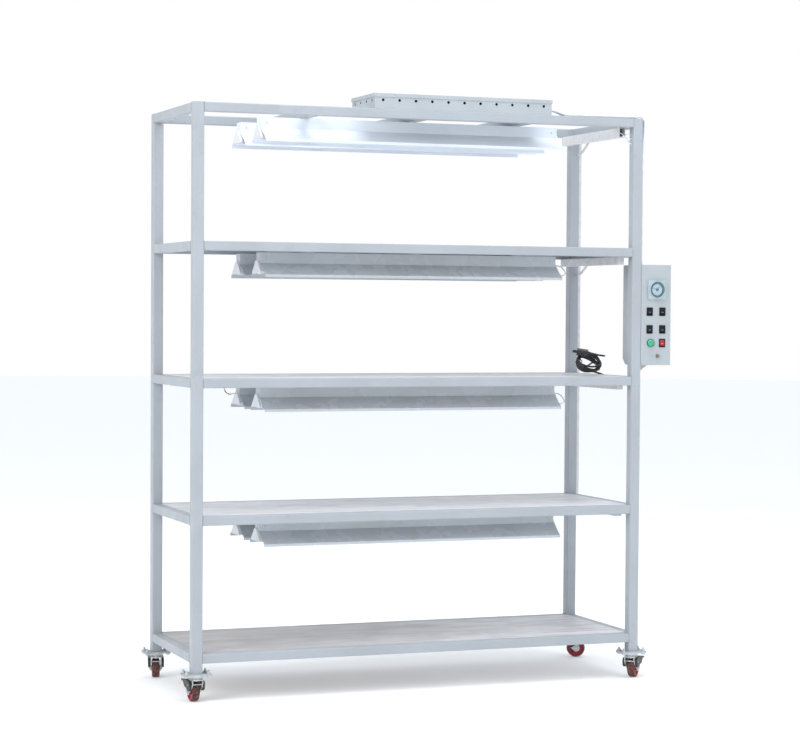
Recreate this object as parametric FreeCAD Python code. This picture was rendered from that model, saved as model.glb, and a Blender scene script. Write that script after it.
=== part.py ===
import FreeCAD, Part
import math
import os

# Mobile five-level light rack: welded square-tube frame on four braked casters,
# twin fluorescent battens under every level but the lowest, a ballast box on top
# and a control box on the front right upright. Millimetres, +Z up, front at -Y.
# The model is built about the middle of the frame's footprint and then moved so
# that the origin is the bottom centre of the whole object without its mains cord.

# ---------------------------------------------------------------- driving sizes
rack_width = 1830.0
rack_depth = 620.0
level_tops = [180.0, 690.0, 1198.0, 1705.0, 2214.0]
post_size = 40.0
post_wall = 1.5
rail_height = 35.0
rail_width = 35.0
rail_wall = 1.5
tube_corner = 3.5
panel_thickness = 2.0
cross_bar_pitch = 437.0

foot_plate_size = (105.0, 66.0, 5.0)
caster_plate_thickness = 3.0
caster_bolt_pattern = (84.0, 46.0)
caster_height = 103.0
wheel_radius = 37.5
wheel_width = 30.0
caster_trail = 29.0

lamp_offset = 132.0
batten_half_length = 612.0
batten_width = 50.0
batten_bottom = 76.0
wing_half_width = 92.0
wing_bottom = 119.0
lip_bottom = 129.0
sheet = 1.2
tube_radius = 13.0
tube_axis_drop = 105.0
tube_half_length = 597.0

control_box_size = (130.0, 160.0, 397.0)
control_box_bottom = 1243.0
cover_depth = 10.0
control_wall = 1.5

ballast_box_left = -210.0
ballast_box_size = (730.0, 255.0, 58.0)
vent_radius = 5.5

cord_radius = 3.75
cable_radius = 4.0
lead_radius = 1.7
link_radius = 5.0

half_width = rack_width / 2
half_depth = rack_depth / 2
post_centre = (half_width - post_size / 2, half_depth - post_size / 2)
top_level = level_tops[-1]

Vector = FreeCAD.Vector
nodes = {}
cord_nodes = ["cord_gland", "mains_cord", "mains_coil", "mains_plug"]


# ---------------------------------------------------------------- small helpers
def box(x_range, y_range, z_range):
    corner = Vector(x_range[0], y_range[0], z_range[0])
    return Part.makeBox(
        x_range[1] - x_range[0], y_range[1] - y_range[0], z_range[1] - z_range[0], corner)


def cylinder(start, direction, radius, length):
    return Part.makeCylinder(radius, length, Vector(*start), Vector(*direction))


def prism(points, direction):
    """A closed outline of 3-D points, pushed along a vector."""
    outline = Part.makePolygon([Vector(*p) for p in points] + [Vector(*points[0])])
    return Part.Face(outline).extrude(Vector(*direction))


def edges_along(shape, axis):
    """The straight edges of a solid that run along one axis."""
    found = []
    for edge in shape.Edges:
        if edge.Curve.TypeId != "Part::GeomLine":
            continue
        run = edge.lastVertex().Point - edge.firstVertex().Point
        if abs(abs(run.dot(axis)) - run.Length) < 1e-6:
            found.append(edge)
    return found


def round_along(shape, axis, radius):
    return shape.makeFillet(radius, edges_along(shape, Vector(*axis)))


def square_tube(x_range, y_range, z_range, axis, wall):
    """A hollow section with rounded outer corners, open at both ends."""
    ranges = [list(x_range), list(y_range), list(z_range)]
    outer = round_along(box(*ranges), axis, tube_corner)
    inner = []
    for along, limits in zip(axis, ranges):
        inner.append(limits if along else [limits[0] + wall, limits[1] - wall])
    return outer.cut(box(*inner))


def shell_box(x_range, y_range, z_range, wall, open_side):
    """A sheet-metal box with one side left open, such as '-y' or '+z'."""
    ranges = [list(x_range), list(y_range), list(z_range)]
    inner = [[limits[0] + wall, limits[1] - wall] for limits in ranges]
    axis = "xyz".index(open_side[1])
    end = 0 if open_side[0] == "-" else 1
    inner[axis][end] = ranges[axis][end]
    return box(*ranges).cut(box(*inner))


def hexagon(centre, across_flats, height):
    """An upright hexagonal bolt head or nut, standing on its centre point."""
    reach = across_flats / 2 / math.cos(math.pi / 6)
    points = []
    for step in range(6):
        angle = math.radians(60 * step + 30)
        x = centre[0] + reach * math.cos(angle)
        y = centre[1] + reach * math.sin(angle)
        points.append((x, y, centre[2]))
    return prism(points, (0, 0, height))


def placed(shape, angle, offset):
    """A copy turned about Z through the local origin and then moved."""
    copy = shape.copy()
    copy.rotate(Vector(0, 0, 0), Vector(0, 0, 1), angle)
    copy.translate(Vector(*offset))
    return copy


def rounded_path(points, share=0.45):
    """Straight runs joined by tangent arcs; returns the wire and the arc radii."""
    points = [Vector(*p) for p in points]
    edges = []
    radii = []
    start = points[0]
    for before, corner, after in zip(points, points[1:], points[2:]):
        incoming = (corner - before).normalize()
        outgoing = (after - corner).normalize()
        turn = incoming.getAngle(outgoing)
        cut_back = share * min((corner - before).Length, (after - corner).Length)
        arc_start = corner - incoming * cut_back
        arc_end = corner + outgoing * cut_back
        radius = cut_back / math.tan(turn / 2)
        to_centre = (outgoing - incoming).normalize()
        middle = corner + to_centre * (radius / math.cos(turn / 2) - radius)
        edges.append(Part.LineSegment(start, arc_start).toShape())
        edges.append(Part.Arc(arc_start, middle, arc_end).toShape())
        radii.append(radius)
        start = arc_end
    edges.append(Part.LineSegment(start, points[-1]).toShape())
    return Part.Wire(edges), radii


def swept_tube(points, radius):
    """A round cable along a rounded path; returns the solid, its length and radii."""
    path, radii = rounded_path(points)
    direction = (Vector(*points[1]) - Vector(*points[0])).normalize()
    circle = Part.Wire(Part.makeCircle(radius, Vector(*points[0]), direction))
    tube = path.makePipeShell([circle], True, True)
    return tube, path.Length, radii


# ---------------------------------------------------------------- welded frame
def upright(side_x, side_y):
    """One corner post with its top cap and the plate that takes the caster."""
    cx = side_x * post_centre[0]
    cy = side_y * post_centre[1]
    half = post_size / 2
    cap = 3.0
    plate_top = caster_height + foot_plate_size[2]
    x_range = (cx - half, cx + half)
    y_range = (cy - half, cy + half)
    post = square_tube(x_range, y_range, (plate_top, top_level - cap), (0, 0, 1), post_wall)
    top_cap = round_along(box(x_range, y_range, (top_level - cap, top_level)), (0, 0, 1), tube_corner)
    foot = box(
        (cx - foot_plate_size[0] / 2, cx + foot_plate_size[0] / 2),
        (cy - foot_plate_size[1] / 2, cy + foot_plate_size[1] / 2),
        (caster_height, plate_top))
    foot = round_along(foot, (0, 0, 1), 6.0)
    for dx, dy in bolt_places():
        foot = foot.cut(cylinder((cx + dx, cy + dy, caster_height - 1), (0, 0, 1), 4.5, 10.0))
    return [post, top_cap, foot]


def bolt_places():
    places = []
    for sx in (-1, 1):
        for sy in (-1, 1):
            places.append((sx * caster_bolt_pattern[0] / 2, sy * caster_bolt_pattern[1] / 2))
    return places


def level_frame(top):
    """Four rails between the posts and three cross bars that carry the shelf and lamps."""
    solids = []
    z_range = (top - rail_height, top)
    inner_x = half_width - post_size
    inner_y = half_depth - post_size
    for side in (-1, 1):
        ys = sorted((side * half_depth, side * (half_depth - rail_width)))
        solids.append(square_tube((-inner_x, inner_x), ys, z_range, (1, 0, 0), rail_wall))
        xs = sorted((side * half_width, side * (half_width - rail_width)))
        solids.append(square_tube(xs, (-inner_y, inner_y), z_range, (0, 1, 0), rail_wall))
    bar_end = half_depth - rail_width
    for step in (-1, 0, 1):
        cx = step * cross_bar_pitch
        solids.append(square_tube(
            (cx - rail_width / 2, cx + rail_width / 2), (-bar_end, bar_end),
            (top - rail_height, top - panel_thickness), (0, 1, 0), rail_wall))
    return solids


def shelf_panel(top):
    """A flat sheet that drops in flush with the rails, notched round the posts."""
    gap = 1.0
    reach_x = half_width - rail_width - gap
    reach_y = half_depth - rail_width - gap
    z_range = (top - panel_thickness, top)
    panel = box((-reach_x, reach_x), (-reach_y, reach_y), z_range)
    notch_x = half_width - post_size - gap
    notch_y = half_depth - post_size - gap
    for sx in (-1, 1):
        for sy in (-1, 1):
            xs = sorted((sx * notch_x, sx * (reach_x + 1)))
            ys = sorted((sy * notch_y, sy * (reach_y + 1)))
            panel = panel.cut(box(xs, ys, (z_range[0] - 1, z_range[1] + 1)))
    return [panel]


corner_names = {
    "front_left": (-1, -1), "front_right": (1, -1),
    "rear_left": (-1, 1), "rear_right": (1, 1)}
for corner, (sx, sy) in corner_names.items():
    nodes["upright_" + corner] = upright(sx, sy)
for number, top in enumerate(level_tops, start=1):
    nodes["level_%d_frame" % number] = level_frame(top)
for number, top in enumerate(level_tops[:4], start=1):
    nodes["shelf_panel_%d" % number] = shelf_panel(top)


# ---------------------------------------------------------------- lamps
def batten_spine(cy, top):
    """The steel channel that holds the wiring, closed at its ends, open below."""
    return shell_box(
        (-batten_half_length, batten_half_length),
        (cy - batten_width / 2, cy + batten_width / 2),
        (top - batten_bottom, top - rail_height), sheet, "-z")


def reflector(cy, top):
    """One folded sheet: a flat under the spine, two sloping wings, two upright lips."""
    half_flat = batten_width / 2
    outer = [
        (-wing_half_width, lip_bottom), (-wing_half_width, wing_bottom), (-half_flat, batten_bottom),
        (half_flat, batten_bottom), (wing_half_width, wing_bottom), (wing_half_width, lip_bottom)]
    inset = wing_half_width - sheet
    inner = [
        (inset, lip_bottom), (inset, wing_bottom + sheet * 0.55), (half_flat - 0.3, batten_bottom + sheet),
        (0.3 - half_flat, batten_bottom + sheet), (-inset, wing_bottom + sheet * 0.55), (-inset, lip_bottom)]
    outline = [(-batten_half_length, cy + y, top - drop) for y, drop in outer + inner]
    return prism(outline, (2 * batten_half_length, 0, 0))


def end_bracket(side, cy, top):
    """The white three-cornered plate outside each end, which carries a lamp holder."""
    start = side * batten_half_length
    profile = [(-9.0, 65.0), (9.0, 65.0), (54.0, 109.0), (54.0, 114.0), (-54.0, 114.0), (-54.0, 109.0)]
    outline = [(start, cy + y, top - drop) for y, drop in profile]
    return prism(outline, (side * 8.0, 0, 0))


def lamp_holder(side, cy, top):
    """A two-pin holder between the bracket and the end of the glass tube."""
    inner_face = tube_half_length + 0.5
    xs = sorted((side * inner_face, side * batten_half_length))
    body = box(xs, (cy - 11, cy + 11), (top - tube_axis_drop - 12, top - batten_bottom - 2.0))
    body = round_along(body, (1, 0, 0), 3.0)
    slot = box(
        (xs[0] - 1, xs[1] + 1), (cy - 1.6, cy + 1.6), (top - tube_axis_drop - 13, top - tube_axis_drop + 4))
    keep = box((xs[1] - 4, xs[1] + 1) if side > 0 else (xs[0] - 1, xs[0] + 4),
               (cy - 3, cy + 3), (top - tube_axis_drop - 13, top - tube_axis_drop + 6))
    return body.cut(slot.cut(keep))


def lamp_tube(cy, top):
    """A straight 26 mm fluorescent tube with a metal cap at each end."""
    cap_length = 18.0
    cap_radius = tube_radius - 0.4
    z = top - tube_axis_drop
    glass_half = tube_half_length - cap_length
    solids = [cylinder((-glass_half, cy, z), (1, 0, 0), tube_radius, 2 * glass_half)]
    for side in (-1, 1):
        cap = cylinder((side * glass_half, cy, z), (side, 0, 0), cap_radius, cap_length)
        solids.append(cap)
    return solids


tube_solids = []
bracket_solids = []
holder_solids = []
for number, top in enumerate(level_tops[1:], start=2):
    nodes["lamp_batten_%d" % number] = [batten_spine(cy, top) for cy in (-lamp_offset, lamp_offset)]
    nodes["lamp_reflector_%d" % number] = [reflector(cy, top) for cy in (-lamp_offset, lamp_offset)]
    for cy in (-lamp_offset, lamp_offset):
        tube_solids += lamp_tube(cy, top)
        for side in (-1, 1):
            bracket_solids.append(end_bracket(side, cy, top))
            holder_solids.append(lamp_holder(side, cy, top))
nodes["lamp_tubes"] = tube_solids
nodes["lamp_end_fittings"] = bracket_solids + holder_solids

# ---------------------------------------------------------------- casters
caster_turn = {"front_left": 93.0, "front_right": 46.0, "rear_left": 77.0, "rear_right": -18.0}
race_bottom = 92.5
fork_top = 92.0
leg_inner = 18.0
leg_thickness = 3.0
brake_pivot = (-2.0, 66.0)
brake_pin_radius = 3.0
axle_radius = 4.0
running_gap = 0.05


def caster_mount():
    """The top plate with its pressed ball race, and the king pin that holds the fork."""
    length, width, _ = foot_plate_size
    plate_bottom = caster_height - caster_plate_thickness
    plate = box((-length / 2, length / 2), (-width / 2, width / 2), (plate_bottom, caster_height))
    plate = round_along(plate, (0, 0, 1), 6.0)
    race = Part.makeCone(27.0, 31.0, plate_bottom - race_bottom, Vector(0, 0, race_bottom))
    plate = plate.fuse(race)
    for dx, dy in bolt_places():
        plate = plate.cut(cylinder((dx, dy, plate_bottom - 1), (0, 0, 1), 4.5, 10.0))
    pin = cylinder((0, 0, 81.0), (0, 0, 1), 5.0, caster_height - 81.0)
    pin = pin.fuse(cylinder((0, 0, 78.5), (0, 0, 1), 8.0, 2.8))
    return [plate.cut(cylinder((0, 0, 60), (0, 0, 1), 5.0, 60)), pin]


def caster_fork():
    """A pressed fork turning under the race, with the wheel axle and brake pivot pin."""
    outer = leg_inner + leg_thickness
    crown = Part.makeCone(25.0, 22.0, fork_top - 86.5, Vector(0, 0, 86.5))
    bridge = box((-24, 24), (-outer, outer), (83.5, 86.5))
    fork = crown.fuse(bridge)
    eye = (caster_trail, wheel_radius)
    profile = [
        (-24.0, 86.5), (-24.0, 78.0), (-15.0, 58.0), (17.0, 29.5), (41.0, 29.5), (43.0, 42.0), (24.0, 86.5)]
    for side in (-1, 1):
        y = side * leg_inner
        leg = prism([(x, y, z) for x, z in profile], (0, side * leg_thickness, 0))
        leg = leg.fuse(cylinder((eye[0], y, eye[1]), (0, side, 0), 14.0, leg_thickness))
        fork = fork.fuse(leg)
    fork = fork.removeSplitter()
    fork = fork.cut(cylinder((0, 0, 80), (0, 0, 1), 5.0 + running_gap, 20))
    fork = fork.cut(cylinder((eye[0], -30, eye[1]), (0, 1, 0), axle_radius + running_gap, 60))
    fork = fork.cut(cylinder(
        (brake_pivot[0], -30, brake_pivot[1]), (0, 1, 0), brake_pin_radius + running_gap, 60))
    axle = cylinder((eye[0], -outer - 5, eye[1]), (0, 1, 0), axle_radius, 2 * outer + 10)
    for side in (-1, 1):
        head = hexagon((0, 0, 0), 13.0, 5.0)
        head.rotate(Vector(0, 0, 0), Vector(1, 0, 0), -90 * side)
        head.translate(Vector(eye[0], side * outer, eye[1]))
        axle = axle.fuse(head)
    pin = cylinder((brake_pivot[0], -32, brake_pivot[1]), (0, 1, 0), brake_pin_radius, 64)
    return [fork, axle, pin]


def caster_wheel():
    """A moulded wheel with rounded shoulders, a raised hub and a dished web."""
    eye = (caster_trail, wheel_radius)
    half = wheel_width / 2
    shoulder = 6.0
    profile = [
        Vector(eye[0] + axle_radius + running_gap, -17, eye[1]), Vector(eye[0] + 11, -17, eye[1]),
        Vector(eye[0] + 12, -10, eye[1]), Vector(eye[0] + 26, -10, eye[1]),
        Vector(eye[0] + 28, -half, eye[1]), Vector(eye[0] + wheel_radius - shoulder, -half, eye[1])]
    far = [Vector(p.x, -p.y, p.z) for p in reversed(profile)]
    rim_x = eye[0] + wheel_radius
    near_edge = Vector(rim_x, -half + shoulder, eye[1])
    far_edge = Vector(rim_x, half - shoulder, eye[1])
    arc_low = Part.Arc(profile[-1], Vector(rim_x - 1.9, -half + 1.9, eye[1]), near_edge).toShape()
    tread = Part.LineSegment(near_edge, far_edge).toShape()
    arc_high = Part.Arc(far_edge, Vector(rim_x - 1.9, half - 1.9, eye[1]), far[0]).toShape()
    edges = [Part.LineSegment(a, b).toShape() for a, b in zip(profile, profile[1:])]
    edges += [arc_low, tread, arc_high]
    edges += [Part.LineSegment(a, b).toShape() for a, b in zip(far, far[1:] + [profile[0]])]
    face = Part.Face(Part.Wire(edges))
    return [face.revolve(Vector(eye[0], 0, eye[1]), Vector(0, 1, 0), 360)]


def caster_brake():
    """A black moulded lever: two cheeks outside the fork and a pedal over the wheel."""
    cheek_inner = leg_inner + leg_thickness + 0.6
    cheek_outer = 31.0
    profile = [
        (-15.0, 68.0), (-12.0, 50.0), (-2.0, 43.0), (10.0, 43.0), (22.0, 52.0), (46.0, 57.0),
        (58.0, 72.0), (72.0, 73.5), (72.0, 79.0), (46.0, 82.0), (-8.0, 80.0)]
    lever = None
    for side in (-1, 1):
        cheek = prism(
            [(x, side * cheek_inner, z) for x, z in profile], (0, side * (cheek_outer - cheek_inner), 0))
        cheek = round_along(cheek, (0, 1, 0), 2.4)
        lever = cheek if lever is None else lever.fuse(cheek)
    pedal = round_along(box((56, 80), (-cheek_outer, cheek_outer), (73.5, 79)), (0, 1, 0), 2.0)
    lever = lever.fuse(pedal)
    lever = lever.cut(cylinder(
        (brake_pivot[0], -40, brake_pivot[1]), (0, 1, 0), brake_pin_radius + running_gap, 80))
    return [lever]


def caster_bolt(x, y):
    """An M8 screw up through both plates, with its nut and a length of free thread."""
    plate_bottom = caster_height - caster_plate_thickness
    plate_top = caster_height + foot_plate_size[2]
    head = hexagon((x, y, plate_bottom - 5.3), 13.0, 5.3)
    shank = cylinder((x, y, plate_bottom - 1), (0, 0, 1), 4.0, plate_top - plate_bottom + 15.0)
    nut = hexagon((x, y, plate_top), 13.0, 6.5)
    return head.fuse(shank).fuse(nut)


mount_solids = []
bolt_solids = []
for corner, (sx, sy) in corner_names.items():
    place = (sx * post_centre[0], sy * post_centre[1], 0)
    turn = caster_turn[corner]
    mount_solids += [placed(s, 0, place) for s in caster_mount()]
    bolt_solids += [caster_bolt(place[0] + dx, place[1] + dy) for dx, dy in bolt_places()]
    nodes["caster_fork_" + corner] = [placed(s, turn, place) for s in caster_fork()]
    nodes["caster_wheel_" + corner] = [placed(s, turn, place) for s in caster_wheel()]
    nodes["caster_brake_" + corner] = [placed(s, turn, place) for s in caster_brake()]
nodes["caster_top_plates"] = mount_solids
nodes["caster_bolts"] = bolt_solids

# ---------------------------------------------------------------- control box
box_left = half_width
box_right = half_width + control_box_size[0]
box_front = -half_depth
box_back = box_front + control_box_size[1]
box_top = control_box_bottom + control_box_size[2]
box_middle = (box_left + box_right) / 2
column = 28.0
timer_drop = 98.0
switch_drops = [185.0, 255.0]
lower_row_drop = 309.0
fuse_drop = 360.0
bezel_size = (27.0, 33.5)
timer_size = 75.0
rocker_pivot_depth = 5.0
pilot_radius = 16.0
fuse_radius = 6.0

switch_places = []
for drop in switch_drops:
    for side in (-1, 1):
        switch_places.append((box_middle + side * column, box_top - drop))
main_switch_place = (box_middle + column, box_top - lower_row_drop)
pilot_place = (box_middle - 23.0, box_top - lower_row_drop)
fuse_place = (box_middle + 8.0, box_top - fuse_drop)
timer_place = (box_middle, box_top - timer_drop)


def box_profile(front, inset):
    """The body's solid outline, sloped along its lower rear edge, shrunk by a wall."""
    slope = 24.0
    back = box_back - inset
    bottom = control_box_bottom + inset
    top = box_top - inset
    bend = inset * math.tan(math.pi / 8)
    corners = [
        (front, bottom), (box_back - slope - bend, bottom), (back, control_box_bottom + slope + bend),
        (back, top), (front, top)]
    return prism([(box_left + inset, y, z) for y, z in corners], (control_box_size[0] - 2 * inset, 0, 0))


def control_body():
    """The back, sides, top and bottom, with a cable hole above and a gland hole below."""
    front = box_front + cover_depth + 0.5
    wall = control_wall
    body = box_profile(front, 0).cut(box_profile(front - 1, wall))
    for y in riser_rows:
        body = body.cut(cylinder((riser_x, y, box_top - 5), (0, 0, 1), cable_radius + 0.5, 10))
    return body.cut(cylinder((gland_x, gland_y, control_box_bottom - 1), (0, 0, 1), 8.0, 5))


def box_gusset():
    """A small three-cornered plate welded under the box and to the post's side."""
    front = box_front + cover_depth + 2.0
    corners = [(0, 0), (34, 0), (0, -24)]
    return prism([(box_left + x, front, control_box_bottom + z) for x, z in corners], (0, 3.0, 0))


def control_cover():
    """A shallow lid across the front, cut out for every device on it."""
    cover = shell_box(
        (box_left, box_right), (box_front, box_front + cover_depth), (control_box_bottom, box_top),
        control_wall, "+y")
    for x, z in switch_places + [main_switch_place]:
        cover = cover.cut(box((x - 11.2, x + 11.2), (box_front - 5, box_front + 5), (z - 14.2, z + 14.2)))
    cover = cover.cut(cylinder((pilot_place[0], box_front - 5, pilot_place[1]), (0, 1, 0), 11.2, 10))
    cover = cover.cut(cylinder((fuse_place[0], box_front - 5, fuse_place[1]), (0, 1, 0), 5.2, 10))
    half = timer_size / 2 - 6
    x, z = timer_place
    return cover.cut(box((x - half, x + half), (box_front - 5, box_front + 5), (z - half, z + half)))


def switch_body(x, z):
    """A rocker switch's bezel and housing, with the pocket that the rocker turns in."""
    half_w = bezel_size[0] / 2
    half_h = bezel_size[1] / 2
    bezel = round_along(
        box((x - half_w, x + half_w), (box_front - 2, box_front), (z - half_h, z + half_h)), (0, 1, 0), 2.0)
    housing = box((x - 11, x + 11), (box_front, box_front + 26), (z - 14, z + 14))
    pocket = box((x - 9.8, x + 9.8), (box_front - 3, box_front + 17), (z - 13, z + 13))
    switch = bezel.fuse(housing).cut(pocket)
    for low in (z - 10, z + 9):
        switch = switch.fuse(box((x - 3, x + 3), (box_front + 26, box_front + 34), (low, low + 1)))
    return switch


def rocker(x, z):
    """A rocker key at its off position: the upper half pressed in, the lower half proud."""
    profile = [(11.3, 3.4), (0.0, 1.4), (-11.3, 3.4), (-11.3, -1.0), (-7.0, -9.0), (7.0, -9.0), (11.3, -1.0)]
    outline = [(x - 9.4, box_front - out, z + up) for up, out in profile]
    key = prism(outline, (18.8, 0, 0))
    key = round_along(key, (1, 0, 0), 0.6)
    key.rotate(Vector(x, box_front + rocker_pivot_depth, z), Vector(1, 0, 0), -rocker_tilt)
    return key


def timer_housing():
    """A square base with a raised round wall for the dial, and the motor case behind."""
    x, z = timer_place
    half = timer_size / 2
    base = box((x - half, x + half), (box_front - 9, box_front), (z - half, z + half))
    base = round_along(base, (0, 1, 0), 5.0)
    wall = cylinder((x, box_front - 13, z), (0, 1, 0), 34.0, 13)
    well = cylinder((x, box_front - 14, z), (0, 1, 0), 31.5, 11)
    back = half - 6.5
    motor = box((x - back, x + back), (box_front, box_front + 34), (z - back, z + back))
    spindle = cylinder((x, box_front - 11.5, z), (0, 1, 0), 2.0, 10)
    return base.fuse(wall).cut(well).fuse(motor).fuse(spindle)


def timer_dial():
    """The turning ring and disc that carry the switching segments."""
    x, z = timer_place
    disc = cylinder((x, box_front - 7.5, z), (0, 1, 0), 30.5, 3.5)
    ring = cylinder((x, box_front - 11, z), (0, 1, 0), 30.5, 3.5)
    ring = ring.cut(cylinder((x, box_front - 12, z), (0, 1, 0), 23.0, 5))
    hub = cylinder((x, box_front - 12.5, z), (0, 1, 0), 5.0, 6)
    dial = disc.fuse(ring).fuse(hub)
    for step in range(48):
        angle = math.radians(step * 7.5)
        notch = cylinder(
            (x + 30.9 * math.cos(angle), box_front - 12, z + 30.9 * math.sin(angle)), (0, 1, 0), 0.9, 3.0)
        dial = dial.cut(notch)
    return dial.cut(cylinder((x, box_front - 15, z), (0, 1, 0), 2.0 + running_gap, 20))


def pilot_lamp():
    """A dark collar with the lamp body behind it, and the domed lens in front."""
    x, z = pilot_place
    bezel = cylinder((x, box_front - 3.5, z), (0, 1, 0), pilot_radius, 3.5)
    body = cylinder((x, box_front, z), (0, 1, 0), 11.0, 32)
    holder = bezel.fuse(body)
    lens_radius = 16.5
    lens = Part.makeSphere(lens_radius, Vector(x, box_front + 4, z))
    lens = lens.common(cylinder((x, box_front - 20, z), (0, 1, 0), 14.2, 16.5))
    return holder, lens


def fuse_holder():
    x, z = fuse_place
    collar = cylinder((x, box_front - 2, z), (0, 1, 0), fuse_radius + 1.5, 2)
    barrel = cylinder((x, box_front, z), (0, 1, 0), 5.0, 30)
    cap = cylinder((x, box_front - 9, z), (0, 1, 0), fuse_radius, 7)
    cap = cap.cut(box((x - 7, x + 7), (box_front - 10, box_front - 8), (z - 0.8, z + 0.8)))
    return [collar.fuse(barrel), cap]


def terminal_block():
    """A row of clamp terminals on a rail across the back of the box."""
    rail = box((box_left + 12, box_right - 12), (box_back - 9, box_back - control_wall), (1330, 1350))
    solids = [rail]
    for step in range(8):
        x0 = box_left + 20 + step * 11.3
        solids.append(box((x0, x0 + 10.8), (box_back - 40, box_back - 9), (1322, 1358)))
    return solids


rocker_tilt = 8.0
riser_x = half_width + 9.0
riser_rows = (-290.0, -280.5, -271.0)
gland_x = half_width + 29.0
gland_y = -195.0

nodes["control_box_body"] = [control_body(), box_gusset()]
nodes["control_box_cover"] = [control_cover()]
nodes["switch_bodies"] = [switch_body(x, z) for x, z in switch_places + [main_switch_place]]
for number, (x, z) in enumerate(switch_places, start=1):
    nodes["rocker_%d" % number] = [rocker(x, z)]
nodes["main_switch_rocker"] = [rocker(*main_switch_place)]
nodes["timer_housing"] = [timer_housing()]
nodes["timer_dial"] = [timer_dial()]
pilot_holder, pilot_lens = pilot_lamp()
nodes["pilot_lamp_body"] = [pilot_holder]
nodes["pilot_lamp_lens"] = [pilot_lens]
nodes["fuse_holder"] = fuse_holder()
nodes["terminal_block"] = terminal_block()

# ---------------------------------------------------------------- ballast box
ballast_right = ballast_box_left + ballast_box_size[0]
ballast_front = -half_depth + 2.0
ballast_back = ballast_front + ballast_box_size[1]
ballast_top = top_level + ballast_box_size[2]
lid_overhang = 3.0
lid_skirt = 14.0
vent_rows = (11, 4)
vent_height = 33.0


def vent_cutters():
    """Round holes along the front and back and across both ends."""
    cutters = []
    length, depth, _ = ballast_box_size
    z = top_level + vent_height
    for step in range(vent_rows[0]):
        x = ballast_box_left + length * (step + 0.5) / vent_rows[0]
        cutters.append(cylinder((x, ballast_front - 5, z), (0, 1, 0), vent_radius, depth + 10))
    for step in range(vent_rows[1]):
        y = ballast_front + depth * (step + 0.5) / vent_rows[1]
        cutters.append(cylinder((ballast_box_left - 5, y, z), (1, 0, 0), vent_radius, 10))
        if y > riser_rows[-1] + 20:
            cutters.append(cylinder((ballast_right - 5, y, z), (1, 0, 0), vent_radius, 10))
    return cutters


def ballast_base():
    base = shell_box(
        (ballast_box_left, ballast_right), (ballast_front, ballast_back),
        (top_level, ballast_top - 1.5), control_wall, "+z")
    base = base.cut(Part.makeCompound(vent_cutters()))
    for y in riser_rows:
        base = base.cut(cylinder((ballast_right - 5, y, top_level + 20), (1, 0, 0), cable_radius + 0.5, 10))
    return base


def ballast_lid():
    gap = 0.3
    outer = box(
        (ballast_box_left - lid_overhang, ballast_right + lid_overhang),
        (ballast_front - 2.0, ballast_back + lid_overhang),
        (ballast_top - lid_skirt, ballast_top))
    inner = box(
        (ballast_box_left - gap, ballast_right + gap), (ballast_front - gap, ballast_back + gap),
        (ballast_top - lid_skirt - 1, ballast_top - 1.4))
    return outer.cut(inner)


def ballasts():
    """Eight choke ballasts in two rows, one for each tube."""
    solids = []
    for column_number in range(4):
        x0 = ballast_box_left + 25 + column_number * 175
        for row in range(2):
            y0 = ballast_front + 62 + row * 95
            case = box((x0, x0 + 150), (y0, y0 + 40), (top_level + control_wall, top_level + 30))
            lugs = box((x0 - 10, x0 + 160), (y0 + 8, y0 + 32), (top_level + control_wall, top_level + 3.5))
            solids.append(case.fuse(lugs))
    return solids


nodes["ballast_box_base"] = [ballast_base()]
nodes["ballast_box_lid"] = [ballast_lid()]
nodes["ballasts"] = ballasts()

# ---------------------------------------------------------------- fixed wiring
trunk_x = 847.0
trunk_width = 25.0
trunk_wall = 1.5
trunk_heights = [12.0, 17.0, 30.0, 37.0]
trunk_ends = (-264.0, half_depth - rail_width - 1)


def cable_trunks():
    """A duct under each lit level, deeper the more leads it holds, and one down the rear post."""
    solids = []
    x_range = (trunk_x - trunk_width / 2, trunk_x + trunk_width / 2)
    for top, height in zip(level_tops[1:], trunk_heights):
        duct_top = top - rail_height
        open_side = "-y" if top == top_level else "+z"
        solids.append(shell_box(x_range, trunk_ends, (duct_top - height, duct_top), trunk_wall, open_side))
    for top, height in list(zip(level_tops[1:], trunk_heights))[2:]:
        z = top - rail_height - height
        link = [
            (x_range[1], 90, z + 12), (x_range[1] + 9, 90, z + 12), (884, 116, z + 8), (899, 165, z - 2),
            (906, 215, z - 22), (907, 248, z - 34), (907, half_depth - post_size, z - 34)]
        solids.append(swept_tube(link, link_radius)[0])
    duct_x = (half_width, half_width + 12.0)
    duct_y = (half_depth - 34.0, half_depth - 12.0)
    solids.append(box(duct_x, duct_y, (level_tops[1] - 60, top_level - 4)))
    return solids


def post_leads():
    """Loose leads out of the open top duct to a hole in the front right post."""
    floor = top_level - rail_height - trunk_heights[-1] + trunk_wall + lead_radius
    near = trunk_ends[0]
    wall_x = half_width - post_size
    side_x = trunk_x - trunk_width / 2 + trunk_wall + lead_radius
    corners = [
        [(846, near + 20, 0), (846, near - 9, 0), (856, near - 20, -6)],
        [(side_x, near + 20, 15), (side_x + 1, near - 8, 13), (850, near - 20, -5), (862, near - 26, -26)],
        [(851, near + 20, 0), (852, near - 8, 0), (863, near - 14, -16)],
        [(856, near + 20, 0), (856, near - 6, 4), (862, near - 14, 10)]]
    ends = [(near - 28, -11), (near - 28, -30), (near - 20, -21), (near - 18, 10)]
    routes = []
    for places, (end_y, end_z) in zip(corners, ends):
        route = [(x, y, floor + z) for x, y, z in places]
        routes.append(route + [(wall_x - 5, end_y, floor + end_z), (wall_x, end_y, floor + end_z)])
    return [swept_tube(route, lead_radius)[0] for route in routes]


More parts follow.
